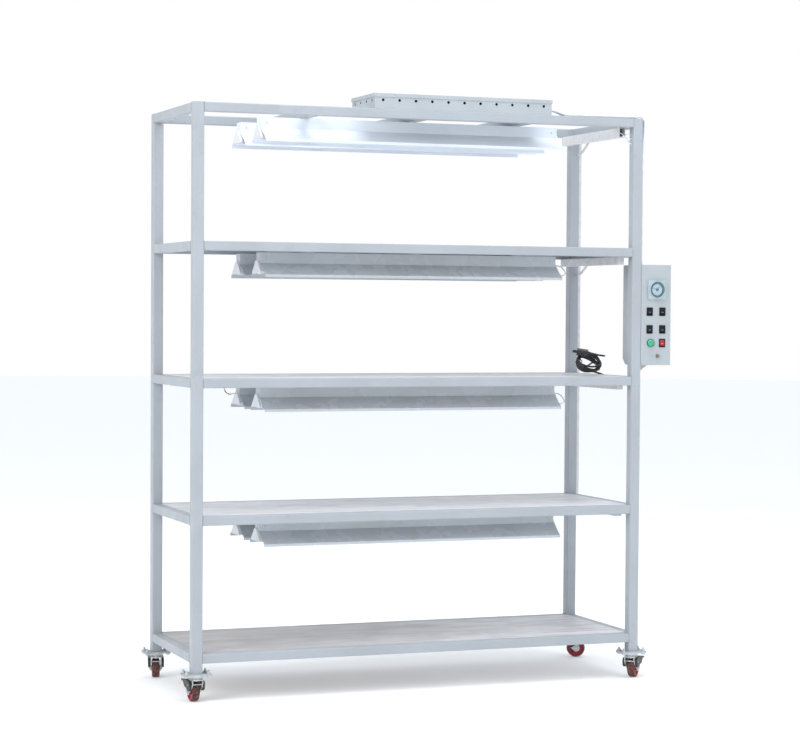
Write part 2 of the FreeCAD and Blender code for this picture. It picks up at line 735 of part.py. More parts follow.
def end_lead(top):
    """A lead hanging in a loop from the top of a front lamp's right end bracket to its foot."""
    x = batten_half_length + 8.0
    y = -lamp_offset
    route = [
        (x, y, top - 70), (x + 12, y, top - 70), (x + 22, y - 10, top - 74), (x + 25, y - 32, top - 86),
        (x + 24, y - 54, top - 102), (x + 14, y - 50, top - 110), (x + 8, y - 46, top - 110),
        (x, y - 46, top - 110)]
    return swept_tube(route, 2.4)[0]


def rear_end_lead(top):
    """A lead from a rear lamp's left end bracket up to the underside of the shelf sheet."""
    x = -batten_half_length - 8.0
    y = lamp_offset
    route = [
        (x, y, top - 72), (x - 10, y, top - 72), (x - 26, y, top - 76), (x - 42, y, top - 66),
        (x - 50, y, top - 42), (x - 50, y, top - panel_thickness)]
    return swept_tube(route, 2.0)[0]


def riser_cables():
    """Sheathed cables from the ballast box over the corner and down to the control box."""
    solids = []
    for number, y in enumerate(riser_rows):
        route = [
            (ballast_right - 8, y, top_level + 20), (ballast_right + 26, y, top_level + 20),
            (ballast_right + 62, y, top_level + cable_radius + 0.6),
            (half_width - 12, y, top_level + cable_radius + 2.6),
            (half_width + 4 + 3 * number, y, top_level + 12 + 2 * number),
            (half_width + 17 + 2 * number, y, top_level - 10 + 4 * number),
            (half_width + 14, y, top_level - 60),
            (riser_x, y, top_level - 120), (riser_x, y, box_top - 14)]
        cable, _, _ = swept_tube(route, cable_radius)
        solids.append(cable)
    return solids


nodes["cable_trunks"] = cable_trunks()
end_leads = [end_lead(level_tops[2]), end_lead(level_tops[3]), rear_end_lead(level_tops[2])]
nodes["wiring_cables"] = riser_cables() + post_leads() + end_leads

# ---------------------------------------------------------------- mains cord
gland_end = control_box_bottom - 20.0
coil_ring_radius = 38.0
coil_thickness_radius = 22.0
coil_lean = 50.0
coil_centre = (786.0, -98.0, level_tops[2] + 51.3)
plug_heading = 152.0
plug_roll = 18.0
plug_place = (752.0, -112.0, level_tops[2] + 92.0)

cord_route = [
    (gland_x, gland_y, gland_end), (gland_x, gland_y, 1185), (942, -174, 1164), (937, -130, 1166),
    (933, -80, 1169), (930, -30, 1176), (927, 15, 1187), (924, 61.6, 1200), (900.6, 85, 1207),
    (867.4, 85, 1213), (845, 62, 1221), (839, 10, 1234), (829, -71, 1262)]


def cord_gland():
    """A dome-nut cable gland through the bottom of the control box."""
    nut = hexagon((gland_x, gland_y, control_box_bottom + control_wall), 22.0, 4.0)
    thread = cylinder((gland_x, gland_y, control_box_bottom - 2), (0, 0, 1), 7.9, 10.0)
    body = hexagon((gland_x, gland_y, control_box_bottom - 6), 22.0, 6.0)
    dome_height = control_box_bottom - 6 - gland_end
    dome = Part.makeCone(6.5, 10.0, dome_height, Vector(gland_x, gland_y, gland_end))
    gland = nut.fuse(thread).fuse(body).fuse(dome)
    bore = cylinder((gland_x, gland_y, gland_end + 6), (0, 0, 1), cord_radius + 0.4, 40)
    return gland.cut(bore)


def mains_coil():
    """The outer shape of the wound cord, leaning on the shelf."""
    torus = Part.makeTorus(coil_ring_radius, coil_thickness_radius)
    torus.rotate(Vector(0, 0, 0), Vector(1, 0, 0), coil_lean)
    torus.translate(Vector(*coil_centre))
    return torus


def mains_plug():
    """A moulded plug with two flat blades and an earth blade."""
    body = round_along(box((-24, 20), (-17, 17), (-12, 12)), (1, 0, 0), 6.0)
    neck = Part.makeCone(6.0, 10.0, 14.0, Vector(-36, 0, 0), Vector(1, 0, 0))
    plug = body.fuse(neck)
    for y in (-8, 8):
        plug = plug.fuse(box((19, 37), (y - 0.9, y + 0.9), (-3, 3)))
    plug.rotate(Vector(0, 0, 0), Vector(0, 0, 1), plug_heading)
    plug.rotate(Vector(0, 0, 0), Vector(1, 0, 0), plug_roll)
    plug.translate(Vector(*plug_place))
    return plug


cord_tube, cord_length, cord_radii = swept_tube(cord_route, cord_radius)
nodes["cord_gland"] = [cord_gland()]
nodes["mains_cord"] = [cord_tube]
nodes["mains_coil"] = [mains_coil()]
nodes["mains_plug"] = [mains_plug()]

# ---------------------------------------------------------------- origin and files
own_pieces = []
for name, solids in nodes.items():
    if name not in cord_nodes:
        own_pieces += solids
extent = Part.makeCompound(own_pieces).optimalBoundingBox(False, False)
shift = Vector(-(extent.XMin + extent.XMax) / 2, -(extent.YMin + extent.YMax) / 2, -extent.ZMin)

os.makedirs("parts", exist_ok=True)
for name, solids in nodes.items():
    shape = Part.makeCompound(solids) if len(solids) > 1 else solids[0].copy()
    shape.translate(shift)
    shape.exportStep("parts/%s.step" % name)

print("nodes", len(nodes))
print("origin shift %.3f %.3f %.3f" % (shift.x, shift.y, shift.z))
print("extent %.2f x %.2f x %.2f" % (extent.XLength, extent.YLength, extent.ZLength))
section_volume = math.pi * cord_radius ** 2 * cord_length
print("cord radii", " ".join("%.1f" % radius for radius in cord_radii))
print("cord length %.1f, volume %.0f of %.0f" % (cord_length, cord_tube.Volume, section_volume))
for name, solids in nodes.items():
    for solid in solids:
        if not solid.isValid() or solid.Volume <= 0:
            print("check solid in", name)
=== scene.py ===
import math
import random

import bmesh
import bpy
from mathutils import Matrix, Vector


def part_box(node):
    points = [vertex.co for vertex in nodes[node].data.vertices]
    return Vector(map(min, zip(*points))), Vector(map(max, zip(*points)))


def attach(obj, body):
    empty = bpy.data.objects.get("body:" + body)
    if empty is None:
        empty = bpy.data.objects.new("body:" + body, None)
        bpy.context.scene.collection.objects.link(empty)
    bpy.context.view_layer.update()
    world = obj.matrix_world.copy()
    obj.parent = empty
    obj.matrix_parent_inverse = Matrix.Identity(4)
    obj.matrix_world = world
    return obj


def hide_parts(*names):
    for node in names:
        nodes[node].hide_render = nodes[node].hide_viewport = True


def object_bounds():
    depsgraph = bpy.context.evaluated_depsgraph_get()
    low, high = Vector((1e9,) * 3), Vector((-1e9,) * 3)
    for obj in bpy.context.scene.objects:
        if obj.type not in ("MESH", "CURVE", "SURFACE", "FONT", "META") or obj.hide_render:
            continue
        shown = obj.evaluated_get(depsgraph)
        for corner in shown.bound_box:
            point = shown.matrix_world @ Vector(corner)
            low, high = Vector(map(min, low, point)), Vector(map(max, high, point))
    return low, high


# Looks of the lighted shelf rack. Metres throughout; the rack's own measures are written
# in millimetres from the middle of its footprint on the floor, and at() converts them.
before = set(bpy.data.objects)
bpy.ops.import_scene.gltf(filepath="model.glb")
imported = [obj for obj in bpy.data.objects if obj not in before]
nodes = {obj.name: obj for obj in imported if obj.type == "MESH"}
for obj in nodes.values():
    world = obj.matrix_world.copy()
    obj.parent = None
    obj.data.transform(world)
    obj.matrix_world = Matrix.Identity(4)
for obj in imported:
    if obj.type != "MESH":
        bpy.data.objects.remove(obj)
cad_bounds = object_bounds()
mm = 0.001
body = "rack"


def low(node):
    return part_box(node)[0]


def high(node):
    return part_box(node)[1]


rack_middle = (low("upright_front_left") + high("upright_rear_right")) / 2
rack_middle.z = 0.0


def at(x, y, z):
    """A point given in the rack's own millimetres."""
    return rack_middle + Vector((x, y, z)) * mm


# ---------------------------------------------------------------- camera
def make_camera():
    """Eye height, left of the rack, a long way back with a long lens."""
    yaw, pitch, roll = (math.radians(angle) for angle in (20.48, -1.914, 0.362))
    forward = Vector((math.sin(yaw) * math.cos(pitch), math.cos(yaw) * math.cos(pitch), math.sin(pitch)))
    level = Vector((math.cos(yaw), -math.sin(yaw), 0.0))
    above = level.cross(forward)
    right = level * math.cos(roll) + above * math.sin(roll)
    up = above * math.cos(roll) - level * math.sin(roll)
    data = bpy.data.cameras.new("camera")
    data.sensor_width = 36.0
    data.lens = 101.48
    data.shift_x = 0.0178
    data.shift_y = 0.0127
    data.clip_end = 200.0
    camera = bpy.data.objects.new("camera", data)
    turn = Matrix((right, up, -forward)).transposed().to_4x4()
    camera.matrix_world = Matrix.Translation(at(-3146.9, -8306.7, 1455.8)) @ turn
    bpy.context.scene.collection.objects.link(camera)
    bpy.context.scene.camera = camera


make_camera()


# ---------------------------------------------------------------- material nodes
def surface(name, **sockets):
    """A node material; returns it with its tree, shader and object coordinates."""
    material = bpy.data.materials.new(name)
    material.use_nodes = True
    tree = material.node_tree
    shader = tree.nodes["Principled BSDF"]
    for socket, value in sockets.items():
        shader.inputs[socket.replace("_", " ")].default_value = value
    coordinates = tree.nodes.new("ShaderNodeTexCoord").outputs["Object"]
    return material, tree, shader, coordinates


def noise(tree, coordinates, scale, stretch=(1, 1, 1), detail=3.0, distortion=0.0):
    """Cloudy noise; stretch below 1 draws it out along that axis."""
    mapping = tree.nodes.new("ShaderNodeMapping")
    mapping.inputs["Scale"].default_value = stretch
    texture = tree.nodes.new("ShaderNodeTexNoise")
    texture.inputs["Scale"].default_value = scale
    texture.inputs["Detail"].default_value = detail
    texture.inputs["Distortion"].default_value = distortion
    tree.links.new(coordinates, mapping.inputs["Vector"])
    tree.links.new(mapping.outputs["Vector"], texture.inputs["Vector"])
    return texture.outputs["Fac"]


def limited(tree, value, start, end, low_value=0.0, high_value=1.0):
    """A value stretched between two limits."""
    spread = tree.nodes.new("ShaderNodeMapRange")
    spread.interpolation_type = "SMOOTHSTEP"
    spread.inputs["From Min"].default_value = start
    spread.inputs["From Max"].default_value = end
    spread.inputs["To Min"].default_value = low_value
    spread.inputs["To Max"].default_value = high_value
    tree.links.new(value, spread.inputs["Value"])
    return spread.outputs["Result"]


def mixed(tree, factor, first, second):
    """Two colours, each a plain colour or another node's output, mixed by a factor."""
    mix = tree.nodes.new("ShaderNodeMix")
    mix.data_type = "RGBA"
    tree.links.new(factor, mix.inputs["Factor"])
    for socket, colour in ((mix.inputs[6], first), (mix.inputs[7], second)):
        if isinstance(colour, bpy.types.NodeSocket):
            tree.links.new(colour, socket)
        else:
            socket.default_value = (*colour, 1.0)
    return mix.outputs[2]


def relief(tree, shader, height, distance, strength=1.0):
    bump = tree.nodes.new("ShaderNodeBump")
    bump.inputs["Distance"].default_value = distance
    bump.inputs["Strength"].default_value = strength
    tree.links.new(height, bump.inputs["Height"])
    tree.links.new(bump.outputs["Normal"], shader.inputs["Normal"])


def paint(name, colour, shade, roughness=0.42, cloud=5.0, dirt=0.25, grain=0.00012):
    """Powder coat: slow colour drift, faint grime, orange-peel relief and uneven gloss."""
    material, tree, shader, place = surface(name, Metallic=0.0, Specular_IOR_Level=0.45)
    drift = limited(tree, noise(tree, place, cloud, detail=4.0), 0.35, 0.7)
    tinted = mixed(tree, drift, colour, shade)
    grime = limited(tree, noise(tree, place, 26.0, detail=6.0, distortion=0.6), 0.56, 0.78, 0.0, dirt)
    dirty = tuple(channel * 0.72 for channel in shade)
    tree.links.new(mixed(tree, grime, tinted, dirty), shader.inputs["Base Color"])
    gloss = limited(tree, noise(tree, place, 14.0), 0.3, 0.7, roughness - 0.07, roughness + 0.1)
    tree.links.new(gloss, shader.inputs["Roughness"])
    relief(tree, shader, noise(tree, place, 700.0, detail=1.5), grain, 0.6)
    return material


def plastic(name, colour, shade, roughness=0.35, grain=0.00006, scale=1400.0, **sockets):
    """Moulded plastic or rubber: nearly even colour with a fine moulded grain."""
    material, tree, shader, place = surface(name, **sockets)
    patches = limited(tree, noise(tree, place, 45.0, detail=5.0), 0.35, 0.7)
    tree.links.new(mixed(tree, patches, colour, shade), shader.inputs["Base Color"])
    gloss = limited(tree, noise(tree, place, 90.0), 0.3, 0.7, roughness - 0.06, roughness + 0.12)
    tree.links.new(gloss, shader.inputs["Roughness"])
    relief(tree, shader, noise(tree, place, scale, detail=2.0), grain, 0.7)
    return material


def plated(name, colour, shade, roughness=0.34):
    """Zinc plate: spangled tone, fine scratches and dull patches."""
    material, tree, shader, place = surface(name, Metallic=0.85)
    spangle = tree.nodes.new("ShaderNodeTexVoronoi")
    spangle.inputs["Scale"].default_value = 260.0
    tree.links.new(place, spangle.inputs["Vector"])
    tone = limited(tree, spangle.outputs["Color"], 0.1, 0.9)
    patch = limited(tree, noise(tree, place, 60.0, detail=5.0), 0.4, 0.75, 0.0, 0.7)
    tree.links.new(mixed(tree, patch, mixed(tree, tone, colour, shade), shade), shader.inputs["Base Color"])
    gloss = limited(tree, noise(tree, place, 140.0), 0.3, 0.7, roughness - 0.08, roughness + 0.16)
    tree.links.new(gloss, shader.inputs["Roughness"])
    relief(tree, shader, noise(tree, place, 900.0, (1, 1, 0.2)), 0.00008, 0.6)
    return material


def shelf_sheet(name, clean, shade, stain_and_shade, staining, left_shade=0.0):
    """Flat painted sheet: soft mottling, streaks along the shelf, pale scuffs, and painted shade that darkens
    it toward the left.
    """
    material, tree, shader, place = surface(name, Specular_IOR_Level=0.4)
    mottle = limited(tree, noise(tree, place, 7.0, (1, 1.5, 1), 6.0, 0.8), 0.36, 0.66)
    base = mixed(tree, mottle, clean, shade)
    # Painted shade: the sheet is darkened toward its left end by mixing in the darker colour.
    if left_shade:
        split = tree.nodes.new("ShaderNodeSeparateXYZ")
        tree.links.new(place, split.inputs["Vector"])
        base = mixed(tree, limited(tree, split.outputs["X"], -0.8, 0.7, left_shade, 0.0), base, stain_and_shade)
    # The same darker colour also paints real stain streaks along the shelf.
    streak = limited(tree, noise(tree, place, 9.0, (0.25, 3.0, 1), 5.0, 0.5), 0.5, 0.72, 0.0, staining)
    streaked = mixed(tree, streak, base, stain_and_shade)
    scuff = limited(tree, noise(tree, place, 16.0, (0.3, 2.2, 1), 8.0, 1.2), 0.62, 0.72, 0.0, 0.6)
    tree.links.new(mixed(tree, scuff, streaked, clean), shader.inputs["Base Color"])
    gloss = limited(tree, noise(tree, place, 10.0, (0.5, 1.5, 1), 4.0), 0.3, 0.7, 0.34, 0.58)
    tree.links.new(gloss, shader.inputs["Roughness"])
    relief(tree, shader, noise(tree, place, 420.0, detail=2.0), 0.0002, 0.5)
    return material


def tread():
    """Red wheel whose rolling face is dark, mottled between two dark tones."""
    material, tree, shader, place = surface("wheel_tread", Specular_IOR_Level=0.4)
    tread_mottle = limited(tree, noise(tree, place, 120.0, detail=6.0), 0.4, 0.65)
    tree.links.new(mixed(tree, tread_mottle, (0.045, 0.016, 0.015), (0.17, 0.07, 0.06)), shader.inputs["Base Color"])
    gloss = limited(tree, noise(tree, place, 200.0), 0.3, 0.7, 0.5, 0.8)
    tree.links.new(gloss, shader.inputs["Roughness"])
    relief(tree, shader, noise(tree, place, 500.0, detail=4.0), 0.0004, 0.6)
    return material


def glass_tube():
    """Unlit fluorescent tube: white powder seen through thin glass."""
    material, tree, shader, place = surface(
        "tube_glass", Roughness=0.16, Coat_Weight=0.8, Coat_Roughness=0.05)
    powder = limited(tree, noise(tree, place, 30.0, (0.3, 1, 1), 4.0), 0.3, 0.7)
    tree.links.new(mixed(tree, powder, (0.83, 0.84, 0.85), (0.76, 0.77, 0.79)), shader.inputs["Base Color"])
    relief(tree, shader, noise(tree, place, 200.0), 0.00004, 0.4)
    return material


def lens(name, colour, shade):
    """Coloured clear plastic with moulded rings that break the light up."""
    material, tree, shader, place = surface(
        name, Transmission_Weight=0.35, Coat_Weight=0.6, Coat_Roughness=0.06, IOR=1.49)
    swirl = limited(tree, noise(tree, place, 260.0, detail=3.0), 0.35, 0.7)
    tree.links.new(mixed(tree, swirl, colour, shade), shader.inputs["Base Color"])
    gloss = limited(tree, noise(tree, place, 300.0), 0.3, 0.7, 0.1, 0.24)
    tree.links.new(gloss, shader.inputs["Roughness"])
    relief(tree, shader, noise(tree, place, 500.0), 0.0002, 0.5)
    return material


frame_paint = paint("frame_paint", (0.366, 0.396, 0.432), (0.343, 0.369, 0.40))
lamp_enamel = paint("lamp_enamel", (0.52, 0.562, 0.60), (0.485, 0.52, 0.55), 0.24, 3.0, 0.12, 0.00005)
box_paint = paint("box_paint", (0.385, 0.42, 0.45), (0.362, 0.393, 0.42), 0.4, 9.0, 0.15)
# Painted light: the top lamps' enamel is the lamp enamel painted much lighter, standing in for the light that
# falls on them.
lit_top_enamel = paint("lit_top_enamel", (0.78, 0.83, 0.90), (0.72, 0.765, 0.83), 0.5, 3.0, 0.1, 0.00005)
bracket_white = plastic("bracket_white", (0.78, 0.79, 0.82), (0.70, 0.71, 0.74))
holder_white = plastic("holder_white", (0.74, 0.74, 0.72), (0.66, 0.66, 0.63))
zinc = plated("zinc_plate", (0.60, 0.62, 0.63), (0.44, 0.46, 0.46))
cap_metal = plated("lamp_cap_metal", (0.66, 0.67, 0.68), (0.5, 0.5, 0.52), 0.28)
wheel_red = plastic("wheel_red", (0.30, 0.018, 0.028), (0.22, 0.012, 0.02), 0.36)
wheel_tread = tread()
brake_black = plastic("brake_black", (0.014, 0.014, 0.016), (0.03, 0.03, 0.032), 0.42)
switch_black = plastic(
    "switch_black", (0.007, 0.008, 0.011), (0.012, 0.013, 0.017), 0.42, Specular_IOR_Level=0.2)
switch_red = plastic("switch_red", (0.44, 0.01, 0.022), (0.34, 0.006, 0.014), 0.2)
timer_case = plastic("timer_case", (0.40, 0.485, 0.515), (0.355, 0.44, 0.465), 0.4)
timer_ring = plastic("timer_ring", (0.05, 0.095, 0.12), (0.065, 0.115, 0.145), 0.45)
timer_face = plastic("timer_face", (0.42, 0.54, 0.62), (0.37, 0.49, 0.57), 0.5)
lamp_bezel = plastic("lamp_bezel", (0.015, 0.06, 0.04), (0.02, 0.08, 0.05), 0.3)
green_lens = lens("lens_green", (0.02, 0.46, 0.22), (0.05, 0.62, 0.33))
fuse_brown = plastic("fuse_black", (0.19, 0.14, 0.11), (0.25, 0.19, 0.155), 0.4)
terminal_cream = plastic("terminal_plastic", (0.62, 0.60, 0.52), (0.54, 0.52, 0.45))
ballast_grey = paint("ballast_case", (0.30, 0.31, 0.33), (0.24, 0.25, 0.27), 0.4, 40.0)
trunk_white = plastic("trunk_plastic", (0.66, 0.67, 0.68), (0.58, 0.59, 0.60), 0.4)
cable_white = plastic("cable_white", (0.72, 0.74, 0.78), (0.62, 0.64, 0.68), 0.38)
cord_black = plastic("cord_black", (0.012, 0.012, 0.013), (0.026, 0.026, 0.028), 0.28)
sheet_paint = shelf_sheet("shelf_sheet", (0.71, 0.71, 0.75), (0.62, 0.615, 0.64), (0.56, 0.54, 0.54), 0.45)
# The lowest shelf's sheet: a darker copy of the shelf sheet, with painted shade that deepens toward the left.
shaded_sheet = shelf_sheet("shaded_sheet", (0.68, 0.67, 0.70), (0.58, 0.57, 0.59), (0.40, 0.375, 0.37), 0.6, 0.75)
weld_paint = paint("weld_paint", (0.33, 0.36, 0.395), (0.28, 0.305, 0.335), 0.5, 60.0, 0.3)
lead_colours = {
    "lead_orange": (0.72, 0.27, 0.05), "lead_cream": (0.74, 0.60, 0.44), "lead_brown": (0.20, 0.075, 0.03),
    "lead_grey": (0.10, 0.12, 0.14), "lead_tan": (0.42, 0.27, 0.16), "lead_olive": (0.045, 0.075, 0.055),
    "lead_red": (0.19, 0.02, 0.03)}
leads = [
    plastic(name, colour, tuple(channel * 0.75 for channel in colour), 0.4)
    for name, colour in lead_colours.items()]
tube_glass = glass_tube()


# ---------------------------------------------------------------- mains cord
coil_middle = (low("mains_coil") + high("mains_coil")) / 2
shelf_top = high("shelf_panel_3").z
cord_diameter = 7.5 * mm
coil_turn_count = 9
points_per_turn = 14
points_left_off = 2

coil_lean = math.radians(50.0)
coil_across = Vector((1.0, 0.0, 0.0))
coil_rise = Vector((0.0, math.cos(coil_lean), math.sin(coil_lean)))
coil_out = coil_across.cross(coil_rise)


def in_coil(across, rise, out):
    """A point given in millimetres across, up and out of the leaning coil."""
    return coil_middle + (coil_across * across + coil_rise * rise + coil_out * out) * mm


def coil_turns():
    """Loose oval turns, each with its own size, place, slant and lean, wound toward the plug.

    The last turn stops a little short, where the cord leaves for the plug.
    """
    start_angle = math.radians(-8.0)
    rest_gap = 0.5 * mm
    draw = random.Random(2)
    shapes = []
    for turn in range(coil_turn_count + 1):
        share = turn / coil_turn_count
        shapes.append((
            draw.uniform(43.0, 52.0), draw.uniform(36.0, 41.0), draw.uniform(-6.0, 6.0),
            draw.uniform(-7.0, 4.0), -12.0 + 22.0 * share, draw.uniform(-0.8, 0.1),
            draw.uniform(-15.0, 15.0), draw.uniform(-22.0, 22.0)))
    shapes[0] = (50.0, 38.0, 0.0, 0.0, 0.0, 0.0, -2.0, 0.0)
    shapes[-1] = (47.0, 39.0, 3.0, 0.0, 10.0, -0.1, 2.0, 2.0)
    places = []
    for step in range(coil_turn_count * points_per_turn - points_left_off):
        turn, part = divmod(step, points_per_turn)
        share = part / points_per_turn
        wide, tall, dx, dq, lift, slant, sway, nod = (
            a + (b - a) * share for a, b in zip(shapes[turn], shapes[turn + 1]))
        angle = start_angle - 2 * math.pi * share
        p = wide * math.cos(angle)
        q = tall * math.sin(angle)
        p, q = p * math.cos(slant) - q * math.sin(slant), p * math.sin(slant) + q * math.cos(slant)
        place = in_coil(p + dx, q + dq, lift + sway * math.cos(angle) + nod * math.sin(angle))
        place.z = max(place.z, shelf_top + cord_diameter / 2 + rest_gap)
        places.append(place)
    return places


cord_route = [
    at(944, -195, 1223), at(944, -195, 1210), at(944, -194.5, 1197), at(944, -191, 1184),
    at(943.6, -183, 1174), at(943, -171, 1167.5), at(941.5, -155, 1165), at(938, -132, 1165),
    at(935.5, -105, 1166.5), at(933, -76, 1169), at(930, -30, 1176), at(927.5, 15, 1187), at(923, 56, 1198),
    at(903, 81, 1206), at(869, 83, 1213), at(847, 62, 1220), at(839, 16, 1233), at(834, -33, 1245.5),
    at(833, -60, 1251.5), at(834.5, -82, 1251.5)]
coiled = coil_turns()
plug_neck = at(783.8, -128.1, 1284.8)
plug_pull = Vector((0.883, -0.446, -0.145))
plug_route = [
    at(835, -93, 1279), at(846, -108, 1277), at(847, -124, 1276), at(840, -137, 1277), at(825, -143, 1278),
    plug_neck + plug_pull * 25 * mm, plug_neck + plug_pull * 12 * mm, plug_neck]


def smooth_curve(name, places, radius, material, resolution=6):
    """A round cable on one smooth spline, led by its control points."""
    data = bpy.data.curves.new(name, "CURVE")
    data.dimensions = "3D"
    data.bevel_depth = radius
    data.bevel_resolution = 5
    data.resolution_u = resolution
    data.use_fill_caps = True
    spline = data.splines.new("NURBS")
    spline.points.add(len(places) - 1)
    for point, place in zip(spline.points, places):
        point.co = (*place, 1.0)
    spline.order_u = 3
    spline.use_endpoint_u = True
    data.materials.append(material)
    cable = bpy.data.objects.new(name, data)
    bpy.context.scene.collection.objects.link(cable)
    return cable


def lathe(name, start, axis, profile, material, sides=32):
    """A turned piece: profile gives its distance along the axis and its radius, in millimetres."""
    shape = bmesh.new()
    turn = axis.to_track_quat("Z", "Y")
    rings = []
    for along, radius in profile:
        ring = []
        for side in range(sides):
            angle = 2 * math.pi * side / sides
            offset = Vector((radius * math.cos(angle), radius * math.sin(angle), along)) * mm
            ring.append(shape.verts.new(start + turn @ offset))
        rings.append(ring)
    for first, second in zip(rings, rings[1:]):
        for side in range(sides):
            after = (side + 1) % sides
            shape.faces.new((first[side], first[after], second[after], second[side]))
    shape.faces.new(list(reversed(rings[0])))
    shape.faces.new(rings[-1])
    for face in shape.faces:
        face.smooth = len(face.verts) == 4
    return finished_mesh(name, shape, material)


def finished_mesh(name, shape, material):
    mesh = bpy.data.meshes.new(name)
    shape.to_mesh(mesh)
    shape.free()
    mesh.materials.append(material)
    piece = bpy.data.objects.new(name, mesh)
    bpy.context.scene.collection.objects.link(piece)
    return piece


def ride(piece, carrier=body):
    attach(piece, carrier)
    return piece


def ribbed_sleeve(name, start, axis, length, wide, narrow):
    """A tapered strain relief with moulded ribs."""
    ribs = 6
    profile = [(0.0, wide)]
    for rib in range(ribs):
        radius = wide + (narrow - wide) * (rib + 0.5) / ribs
        first = length * rib / ribs
        pitch = length / ribs
        profile += [
            (first + pitch * 0.15, radius), (first + pitch * 0.6, radius),
            (first + pitch * 0.7, radius - 0.9), (first + pitch * 0.95, radius - 0.9)]
    profile.append((length, narrow - 0.5))
    return ride(lathe(name, start, axis, profile, cord_black))


def coil_tie():
    """A band round the coil's left side, ending in a small loop."""
    band_slack = 5.4
    loop_radius = 8.0
    loop_lift = 2.5
    crossings = [place - coil_middle for place in coiled[points_per_turn // 2::points_per_turn]]
    across = [crossing.dot(coil_across) / mm for crossing in crossings]
    out = [crossing.dot(coil_out) / mm for crossing in crossings]
    middle_across = (min(across) + max(across)) / 2
    middle_out = (min(out) + max(out)) / 2
    half_across = (max(across) - min(across)) / 2 + band_slack
    half_out = (max(out) - min(out)) / 2 + band_slack
    band = []
    for step in range(25):
        angle = 2 * math.pi * step / 24 + 0.9
        band.append(in_coil(
            middle_across + half_across * math.cos(angle), 6.0 + 0.15 * step,
            middle_out + half_out * math.sin(angle)))
    loop = []
    for step in range(17):
        angle = 2 * math.pi * step / 16
        loop.append(in_coil(
            middle_across - 2 + loop_radius * math.cos(angle), -6.0 + loop_radius * math.sin(angle),
            middle_out + half_out + loop_lift))
    pieces = []
    for name, places, radius in (("coil_tie_band", band, 1.1), ("coil_tie_loop", loop, 1.5)):
        pieces.append(ride(smooth_curve(name, places, radius * mm, cord_black)))
    return pieces


mains_lead = smooth_curve("mains_lead", cord_route + coiled + plug_route, cord_diameter / 2, cord_black)
ride(mains_lead)
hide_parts("mains_cord", "mains_coil")
cord_pieces = [
    ribbed_sleeve("gland_relief", cord_route[0], Vector((0, 0, -1)), 26.0, 6.6, 4.7),
    ribbed_sleeve("plug_relief", plug_neck, plug_pull, 24.0, 6.2, 4.6)] + coil_tie()


# ---------------------------------------------------------------- finishes on the CAD pieces
def coat(material, *names):
    for name in names:
        nodes[name].data.materials.clear()
        nodes[name].data.materials.append(material)


def numbered(stem, count, first=1):
    return [stem % number for number in range(first, first + count)]


corners = ("front_left", "front_right", "rear_left", "rear_right")
coat(frame_paint, *["upright_" + corner for corner in corners], *numbered("level_%d_frame", 5))
coat(sheet_paint, *numbered("shelf_panel_%d", 3, 2))
# The lowest shelf takes the sheet copy with painted shade.
coat(shaded_sheet, "shelf_panel_1")
coat(lamp_enamel, *numbered("lamp_batten_%d", 3, 2), *numbered("lamp_reflector_%d", 3, 2))
# The top lamps take the enamel copy with painted light.
coat(lit_top_enamel, "lamp_batten_5", "lamp_reflector_5")
coat(bracket_white, "lamp_end_fittings")
coat(zinc, "caster_top_plates", "caster_bolts", *["caster_fork_" + corner for corner in corners])
coat(brake_black, *["caster_brake_" + corner for corner in corners])
coat(box_paint, "control_box_body", "control_box_cover", "ballast_box_base", "ballast_box_lid")
coat(switch_black, "switch_bodies", *numbered("rocker_%d", 4))
coat(switch_red, "main_switch_rocker")
coat(timer_case, "timer_housing")
coat(lamp_bezel, "pilot_lamp_body")
coat(green_lens, "pilot_lamp_lens")
coat(fuse_brown, "fuse_holder")
coat(terminal_cream, "terminal_block")
coat(ballast_grey, "ballasts")
coat(trunk_white, "cable_trunks")
coat(cord_black, "cord_gland", "mains_plug", "mains_cord", "mains_coil")


def coat_parts(name, materials, chooser):
    """Gives each face of a CAD piece one of several materials, by where the face lies."""
    mesh = nodes[name].data
    mesh.materials.clear()
    for material in materials:
        mesh.materials.append(material)
    for face in mesh.polygons:
        face.material_index = chooser(face)


tube_cap_length = 18 * mm
glass_reach = (high("lamp_tubes").x - low("lamp_tubes").x) / 2 - tube_cap_length
tube_middle = (high("lamp_tubes").x + low("lamp_tubes").x) / 2
coat_parts("lamp_tubes", (tube_glass, cap_metal), lambda face: abs(face.center.x - tube_middle) > glass_reach)

for corner in corners:
    wheel = "caster_wheel_" + corner
    hub = (low(wheel) + high(wheel)) / 2
    rim = (high(wheel).z - low(wheel).z) / 2
    coat_parts(wheel, (wheel_red, wheel_tread), lambda face: (face.center - hub).length > rim - 0.4 * mm
               and face.normal.dot((face.center - hub).normalized()) > 0.8)

hub_height = 5.0 * mm
dial_face = low("timer_dial").y + hub_height
coat_parts("timer_dial", (timer_ring, timer_face), lambda face: face.normal.y < -0.9
           and abs(face.center.y - dial_face) < 0.3 * mm)


def islands(mesh):
    """The separate pieces of a mesh, each as a list of its faces."""
    owner = list(range(len(mesh.vertices)))

    def root(index):
        while owner[index] != index:
            owner[index] = owner[owner[index]]
            index = owner[index]
        return index

    for edge in mesh.edges:
        owner[root(edge.vertices[0])] = root(edge.vertices[1])
    pieces = {}
    for face in mesh.polygons:
        pieces.setdefault(root(face.vertices[0]), []).append(face)
    return pieces.values()


